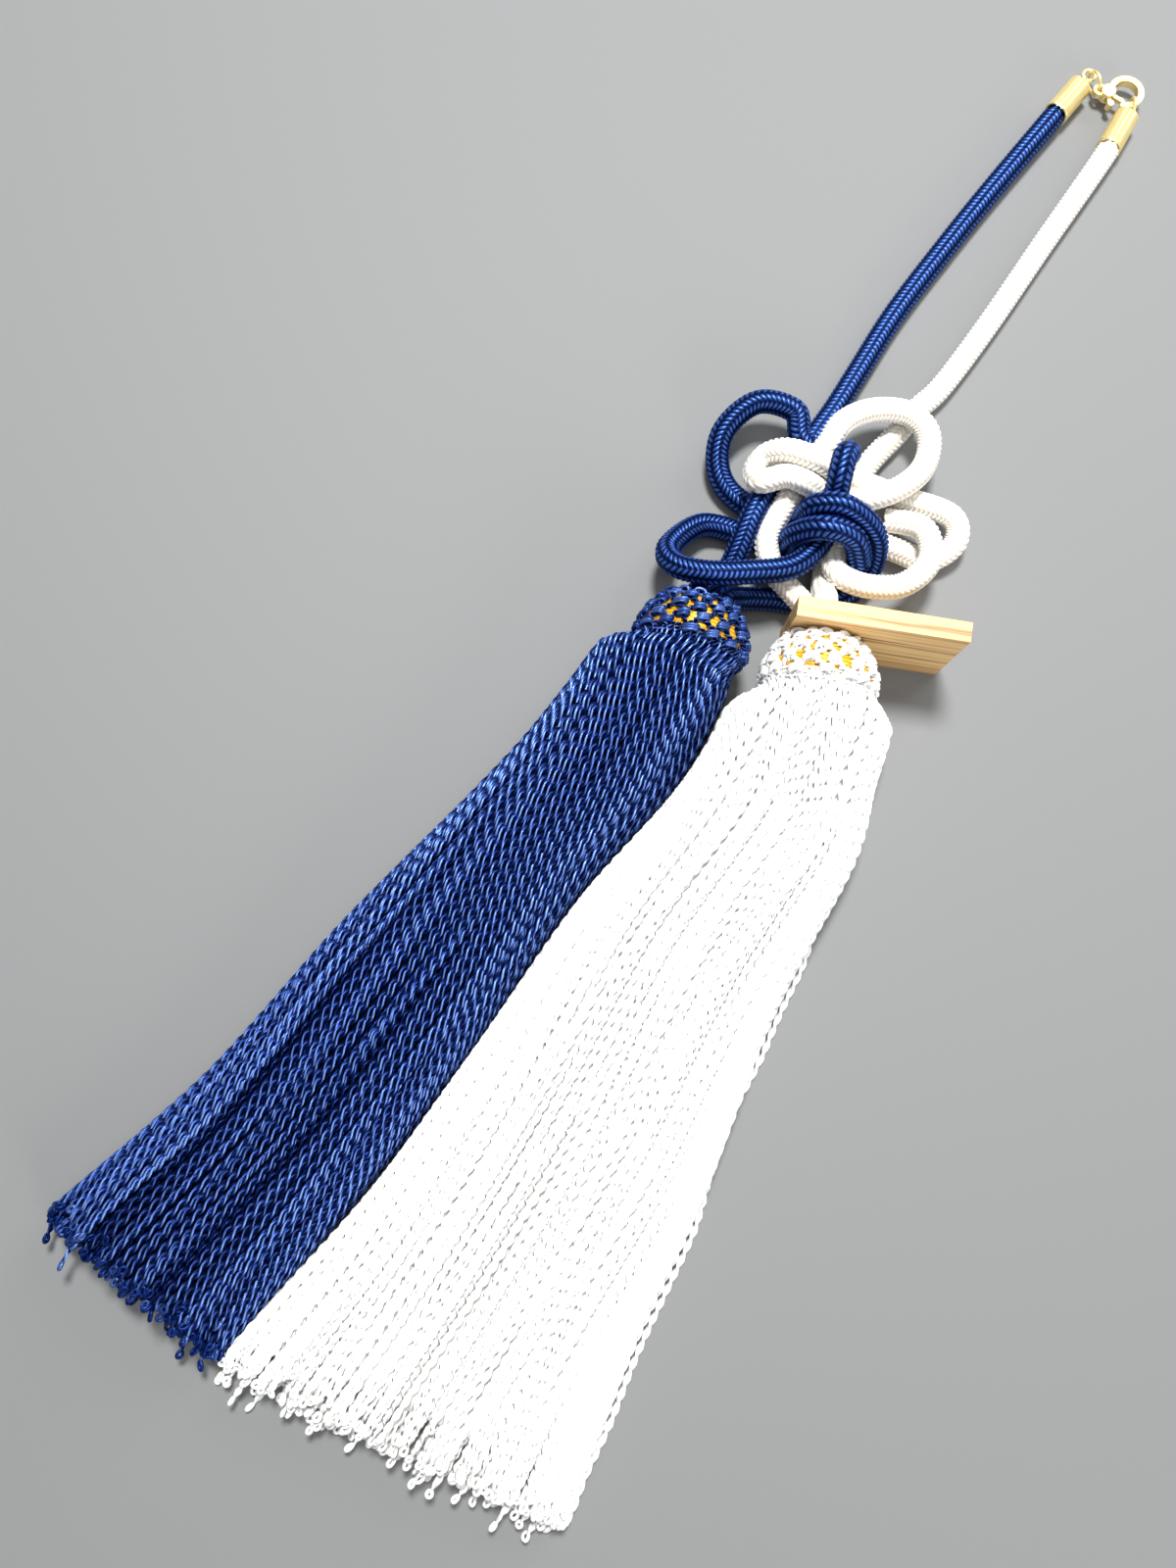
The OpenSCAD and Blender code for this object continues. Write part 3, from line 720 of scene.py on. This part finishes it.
def inner_ends(heap, shape, rng, strand_r, ragged):
    """The ends of the many strands inside, in rows."""
    in_row = int(2 * shape.wide[-1] / INNER_GAP)
    for level in INNER_LEVELS:
        for k in range(in_row):
            u = np.clip((k + rng.uniform(0.1, 0.9)) / in_row * 2 - 1, -0.97, 0.97)
            last = shape.s[-1] + rng.normal(-1.2, ragged * 0.9)
            high = np.clip(level + rng.normal(0, 0.05), 0, 0.8)
            tint = rng.random()
            line = shape.inner(u, high, last - INNER_LENGTH, last)
            # The inner ends' tints are scaled to 0.6 of the range: painted shade inside the fringe
            path = thread(heap, line, rng, strand_r, 1.4, tint=tint * 0.6, rough=True)
            strand_eye(heap, path, rng, tint)


def packed_core(heap, shape, weight, depth, tint):
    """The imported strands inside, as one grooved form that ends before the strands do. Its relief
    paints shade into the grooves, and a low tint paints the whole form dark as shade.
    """
    sides, rings = 70, 60
    inside = []
    for f in np.linspace(OUTERMOST, 1 - OUTERMOST, sides):
        line = shape.line(f + 0 * shape.s, depth + 0 * shape.s, weight)
        inside.append(even(cut(line, run_of(line)[-1] - CORE_SHORTER), 1.0)[0])
    at = np.linspace(0, 1, rings)
    loft = np.stack([sample(at, np.linspace(0, 1, len(x)), x) for x in inside], 1)
    groove = np.where(np.arange(sides) % 2 == 0, 1.0, 0.0)
    loft = loft + 0.3 * groove[None, :, None] * UP
    loft[..., 2] = np.maximum(loft[..., 2], CORE_FLOOR_GAP)
    heap.grid(loft, 0.6 * groove[None, :], tint, np.linspace(0, 60, sides + 1),
              np.linspace(0, 160, rings + 1))


def fringe(prefix, shape, node, material, slot, seed, count, strand_r, weight, ragged, valleys,
           under_at, core_at, under_painted_shade, strays=()):
    """A whole fringe. valleys are the count, width and depth of its furrows, and under_at and core_at
    the depths of the second layer and of the form under it. The tint for the layers under the outer
    strands is the core's tint and the second layer's least tint: set low, it paints them dark as
    shade."""
    rng = np.random.default_rng(seed)
    valley = furrows(rng, *valleys)
    first_half, second_half, under, core = Heap(), Heap(), Heap(), Heap()
    outer_strands((first_half, second_half), shape, rng, count, strand_r, weight, ragged, valley)
    stray_strands(first_half, shape, rng, strays, strand_r, weight)
    second_layer(under, shape, rng, int(count * SECOND_LAYER), strand_r, weight, ragged,
                 under_at, under_painted_shade)
    inner_ends(under, shape, rng, strand_r, ragged)
    packed_core(core, shape, weight, core_at, under_painted_shade)
    shown = first_half.piece(prefix + "_threads_a", material, slot, CREASE)
    second_half.piece(prefix + "_threads_b", material, slot, CREASE)
    under.piece(prefix + "_inner_threads", material, slot, CREASE)
    core.piece(prefix + "_core", material, slot)
    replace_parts(shown, node)


NAVY_HEAD_AT, NAVY_HEAD_TURN = (-9.6, -4.6, HEAD_R), 15
WHITE_HEAD_AT, WHITE_HEAD_TURN = (16.8, 2, HEAD_R), PLATE_TURN
fringe("navy_fringe", Fringe(NAVY_ROWS, NAVY_HEAD_AT, NAVY_HEAD_TURN, 1), "navy_skirt",
       NAVY_THREAD, "navy_thread", seed=11, count=60, strand_r=0.68, weight=0.4, ragged=2.2,
       valleys=(9, 0.013, 1.5), under_at=2.1, core_at=2.4, under_painted_shade=-0.9)
fringe("white_fringe", Fringe(WHITE_ROWS, WHITE_HEAD_AT, WHITE_HEAD_TURN, -1), "white_skirt",
       WHITE_THREAD, "white_thread", seed=12, count=68, strand_r=0.75, weight=0.75, ragged=2.6,
       valleys=(5, 0.008, 0.8), under_at=1.5, core_at=2.2, under_painted_shade=0.5,
       strays=((1, 0.24, 0.5, 1.9), (1, 0.55, 0.95, 1.5), (-1, 0.35, 0.7, 0.6)))

# Heads: a net of knotted thread over a wound gold core. The dome is an ellipse up to its
# shoulder, at the crown's height, and the crown's points are radius and height.
DOME_TALL, CROWN_H = 13.2, 10.14
SHOULDER = math.asin(CROWN_H / DOME_TALL)
DOME = [(HEAD_R * math.cos(a), DOME_TALL * math.sin(a)) for a in np.linspace(0, SHOULDER, 9)]
CROWN = [(6.4, 10.35), (4.8, 10.45), (3.2, 10.5), (1.6, 10.5)]
PROFILE = smooth_line(DOME + CROWN, 12)
PROFILE_RUN = run_of(PROFILE)


class Head:
    """Places on a head's dome."""

    def __init__(self, at, turn):
        t = math.radians(turn)
        self.at = np.array(at, float)
        self.axis = np.array([-math.sin(t), math.cos(t), 0])
        self.across = np.array([math.cos(t), math.sin(t), 0])

    def place(self, q, b, lift):
        """Points q mm from the rim and at angle b round the axis, lift mm above the dome, and
        the outward direction there."""
        q, b, lift = np.broadcast_arrays(*[np.asarray(x, float) for x in (q, b, lift)])
        r = np.interp(q, PROFILE_RUN, PROFILE[:, 0])
        h = np.interp(q, PROFILE_RUN, PROFILE[:, 1]) + np.minimum(q, 0)
        g = 0.25
        ahead, back = sample(q + g, PROFILE_RUN, PROFILE), sample(q - g, PROFILE_RUN, PROFILE)
        d = unit(ahead - back + np.array([0, 1e-4]))
        round_way = np.cos(b)[..., None] * self.across + np.sin(b)[..., None] * UP
        out = d[..., 1:] * round_way - d[..., :1] * self.axis
        at = self.at + self.axis * h[..., None] + round_way * r[..., None]
        return at + out * lift[..., None], out


# The net: its meshes round the head, the distance between its rows of knots, their number,
# and how far from the rim the first one is
MESHES = 15
ROW_GAP = 2.75
ROWS, FIRST_ROW = 6, 0.9
# Height of the threads and the knots above the dome, negative inside it, and how far a thread
# passes over or under another
THREADS_AT, KNOTS_AT = -0.95, -0.85
CROSSING = 0.26
# A knot's half width, the same near the crown, the distance from the rim where that begins,
# and where its three loops lie along the head
KNOT_WIDE, CROWN_KNOT_WIDE, CROWN_FROM = 1.15, 0.95, 8
KNOT_LOOPS = (-0.52, -0.02, 0.48)
# The length in which a net thread's plies turn once
NET_PITCH = 2.4
# Rounds of thread that close the rim and the crown: distance from the rim, and height above
# the dome
ROUNDS = [(-0.9, -1.3), (-0.1, -1.25), (0.8, -1.4), (15.6, -0.8), (16.6, -0.8), (17.6, -0.8)]
# Rounds of the collar: distance along the head's axis, and how much wider than the oval
COLLAR_ROUNDS = [(10.2, 0.35), (11.1, 0.1), (12.0, 0.0)]


def net_threads(net, head, rng, rope, shade):
    """Two families of threads that cross at the knots. rope is the threads' radius, and shade
    their least tint."""
    q = np.linspace(-0.3, FIRST_ROW + (ROWS - 1) * ROW_GAP + 0.6, 60)
    m = (q - FIRST_ROW) / ROW_GAP
    for family in (-1, 1):
        for i in range(MESHES):
            b = TURN * i / MESHES + family * m * np.pi / MESHES
            b = b + 0.045 * np.sin(q * 1.1 + rng.uniform(0, 6))
            line, out = head.place(q, b, THREADS_AT + CROSSING * family * np.cos(np.pi * m))
            thread(net, line, rng, rope, 0.5, NET_PITCH, out, shade + 0.5 * rng.random())


def net_knots(net, head, rng, shade):
    """A knot of three loops of thread at each crossing. Knots near the crown are smaller."""
    for j in range(ROWS):
        for i in range(MESHES):
            b = TURN * (i + 0.5 * (j % 2)) / MESHES + rng.normal(0, 0.045)
            q = FIRST_ROW + j * ROW_GAP + rng.normal(0, 0.35)
            centre, out = head.place(q, b, KNOTS_AT)
            along = unit(head.place(q + 0.5, b, KNOTS_AT)[0] - centre)
            flat = np.cross(along, out)
            a = np.arange(10) / 10 * TURN
            wide = (KNOT_WIDE if q < CROWN_FROM else CROWN_KNOT_WIDE) * rng.uniform(0.85, 1.3)
            lean = rng.normal(0.3, 0.15)
            for off in KNOT_LOOPS:
                loop = along * (off + lean * np.cos(a))[:, None]
                loop = loop + flat * (wide * np.cos(a))[:, None] + out * (0.62 * np.sin(a))[:, None]
                ring_tube(net, centre + loop, 0.32, along, tint=shade + 0.5 * rng.random())
                wide *= rng.uniform(0.8, 1.15)


def net_rounds(net, head, rng, collar, shade):
    """The rounds of thread at the rim, at the crown and round the cords."""
    b = np.linspace(0, TURN, 120) - np.pi / 2
    for q, lift in ROUNDS:
        line, out = head.place(q, b, lift)
        thread(net, line, rng, 0.6, 0.6, NET_PITCH, out, shade + 0.4, taper=False)
    middle_across, middle_up, half_across, half_up = collar
    b = np.linspace(0, TURN, 90)
    for h, grow in COLLAR_ROUNDS:
        x = middle_across + (half_across + grow) * np.cos(b)
        z = middle_up + (half_up + grow) * np.sin(b)
        line = head.at + h * head.axis + x[:, None] * head.across + z[:, None] * UP
        thread(net, line, rng, 0.6, 0.5, NET_PITCH, head.axis, taper=False)


# The gold core: its height above the dome, negative inside it, the distance between its turns
# of thread and the height of their ridges, the distance between its rings of points, and UV
# units for each millimetre along it
CORE_AT, WINDING_GAP, WINDING_RIDGE = -1.45, 0.95, 0.1
CORE_STEP, CORE_UV_ALONG = 0.24, 6


def wound_core(kernel, head):
    """The dome of gold thread, with a ridge for each turn of the winding; the relief paints shade
    between the turns and a highlight on the ridges.
    """
    q = np.arange(0.3, PROFILE_RUN[-1], CORE_STEP)[:, None]
    sides = 72
    b = (np.arange(sides) / sides * TURN)[None, :]
    wound = np.sin(q * TURN / WINDING_GAP) + 0 * b
    verts = head.place(q, b[:, ::-1], CORE_AT + WINDING_RIDGE * wound)[0]
    kernel.grid(verts, 0.5 + 0.35 * wound, 0.5, np.linspace(0, 6, sides + 1),
                np.arange(len(q) + 1) * CORE_STEP * CORE_UV_ALONG)


def netted_head(prefix, head, material, slot, seed, collar, rope, shade):
    """A whole head. collar is the oval of thread round the cords where they enter the crown:
    its middle and half sizes, across and up."""
    rng = np.random.default_rng(seed)
    net, kernel = Heap(), Heap()
    net_threads(net, head, rng, rope, shade)
    net_knots(net, head, rng, shade)
    net_rounds(net, head, rng, collar, shade)
    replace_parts(net.piece(prefix + "_net_threads", material, slot, CREASE), prefix + "_net")
    wound_core(kernel, head)
    core = kernel.piece(prefix + "_wound_core", GOLD_THREAD, "gold_thread")
    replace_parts(core, prefix + "_kernel")


netted_head("navy_head", Head(NAVY_HEAD_AT, NAVY_HEAD_TURN), NAVY_THREAD, "navy_thread",
            seed=21, collar=(0.56, -3.7, 5.7, 3.1), rope=0.62, shade=-0.2)
netted_head("white_head", Head(WHITE_HEAD_AT, WHITE_HEAD_TURN), WHITE_THREAD, "white_thread",
            seed=22, collar=(-1.3, 0, 3.1, 5.7), rope=0.8, shade=0.5)

# Cord caps: thin folded sheet with two rolled edges along the top, an end wall and an eye
CAP_HALF_WIDE, CAP_HALF_HIGH = 2.78, 2.95
CAP_LENGTH = 9.6
CAP_AXIS_Z = 3.05
# How square the cap's section is, from 1 for an ellipse to 0 for a box, and the wire of its eye
CAP_SQUARENESS = 0.86
EYE_WIRE_R = 0.4
# The grooves: where they lie beside the seam, how wide and how deep, and the seam's own
GROOVE_AT, GROOVE_HALF_WIDE, GROOVE_DEEP = 0.6, 0.2, 0.6
SEAM_HALF_WIDE, SEAM_SHARE = 0.16, 0.3
# Rings of the cap: distance from its mouth, how far inside its outer size, and share of the
# grooves' depth
CAP_RINGS = [
    (2.0, 0.4, 0), (0.05, 0.4, 0), (0, 0.33, 0.4), (0, 0.1, 0.7), (0.08, 0, 1), (0.5, 0, 1),
    (3, 0.02, 1), (6, 0.02, 1), (CAP_LENGTH - 0.7, 0, 1), (CAP_LENGTH - 0.25, 0.05, 0.9),
    (CAP_LENGTH - 0.06, 0.2, 0.5), (CAP_LENGTH, 0.45, 0.2), (CAP_LENGTH, 1.3, 0),
    (CAP_LENGTH, 2.2, 0)]
# Half widths of the neck between the end wall and the eye
NECK = np.array([1.05, 0.85, 0.7, 0.62, 0.5])


def folded_cap(name, at, turn, mouth, eye_at, eye_r, eye_normal, eye_way):
    """at and turn place the cap's middle and axis, and mouth and eye_at are distances from
    there along the axis. The eye's normal and a direction in its plane are given along the
    cap's right, axis and up."""
    t = math.radians(turn)
    right_way = np.array([math.cos(t), math.sin(t), 0])
    axis = np.array([-math.sin(t), math.cos(t), 0])
    base = np.array([at[0], at[1], CAP_AXIS_Z]) + axis * mouth
    sides = 144
    a = np.arange(sides) / sides * TURN
    cos, sin = np.cos(a), np.sin(a)
    x = np.sign(cos) * np.abs(cos) ** CAP_SQUARENESS
    z = np.sign(sin) * np.abs(sin) ** CAP_SQUARENESS
    beside = x * CAP_HALF_WIDE
    groove = (np.exp(-(((np.abs(beside) - GROOVE_AT) / GROOVE_HALF_WIDE) ** 2))
              + SEAM_SHARE * np.exp(-((beside / SEAM_HALF_WIDE) ** 2))) * (z > 0)
    verts = []
    for run, inset, grooved in CAP_RINGS:
        wide = (CAP_HALF_WIDE - inset) * x
        high = (CAP_HALF_HIGH - inset) * z - GROOVE_DEEP * groove * grooved
        verts.append(base + axis * run - right_way * wide[:, None] + UP * high[:, None])
    heap = Heap()
    around, along = np.linspace(0, 4, sides + 1), np.arange(len(CAP_RINGS) + 1.0)
    heap.grid(np.array(verts), 0.9, 0.5, around, along)
    s = np.linspace(CAP_LENGTH - 0.3, eye_at - mouth - eye_r, len(NECK))
    sides = 20
    a = np.arange(sides) / sides * TURN
    disc = -right_way * np.cos(a)[:, None] + UP * np.sin(a)[:, None]
    verts = base + axis * s[:, None, None] + NECK[:, None, None] * disc
    heap.grid(verts, 0.9, 0.5, np.linspace(0, 1, sides + 1), np.arange(len(NECK) + 1.0))
    cap_frame = np.array([right_way, axis, UP])
    normal, way = np.array(eye_normal) @ cap_frame, np.array(eye_way) @ cap_frame
    a = np.arange(36) / 36 * TURN
    centre = base + axis * (eye_at - mouth)
    other = np.cross(normal, way)
    p = centre + eye_r * (np.cos(a)[:, None] * way + np.sin(a)[:, None] * other)
    ring_tube(heap, p, EYE_WIRE_R, normal, sides=12)
    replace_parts(heap.piece(name + "_folded", GOLD, "gold_metal"), name)


folded_cap("navy_cord_cap", (-4.7, 152.3), turn=-7.9, mouth=-0.2, eye_at=13.3, eye_r=1.4,
           eye_normal=(0, 0, 1), eye_way=(1, 0, 0))
folded_cap("white_cord_cap", (9.85, 150.2), turn=2, mouth=0.6, eye_at=13.2, eye_r=1.8,
           eye_normal=(0.891, 0.454, 0), eye_way=(-0.454, 0.891, 0))

# Ring, clasp and plate: part.scad's own shapes with softened edges, and each one's edge width
SOFT_EDGES = {"jump_ring": 0.2, "clasp_body": 0.6, "clasp_lever": 0.2, "wood_plate": 0.3}
for name, width in SOFT_EDGES.items():
    ob = NODES[name]
    ob.data.materials.clear()
    ob.data.materials.append(WOOD if name == "wood_plate" else GOLD)
    bevel = ob.modifiers.new("soft_edges", "BEVEL")
    bevel.limit_method = "ANGLE"
    bevel.angle_limit = math.radians(40)
    bevel.width = width * MM
    bevel.segments = 3
    ob.data.polygons.foreach_set("use_smooth", [True] * len(ob.data.polygons))
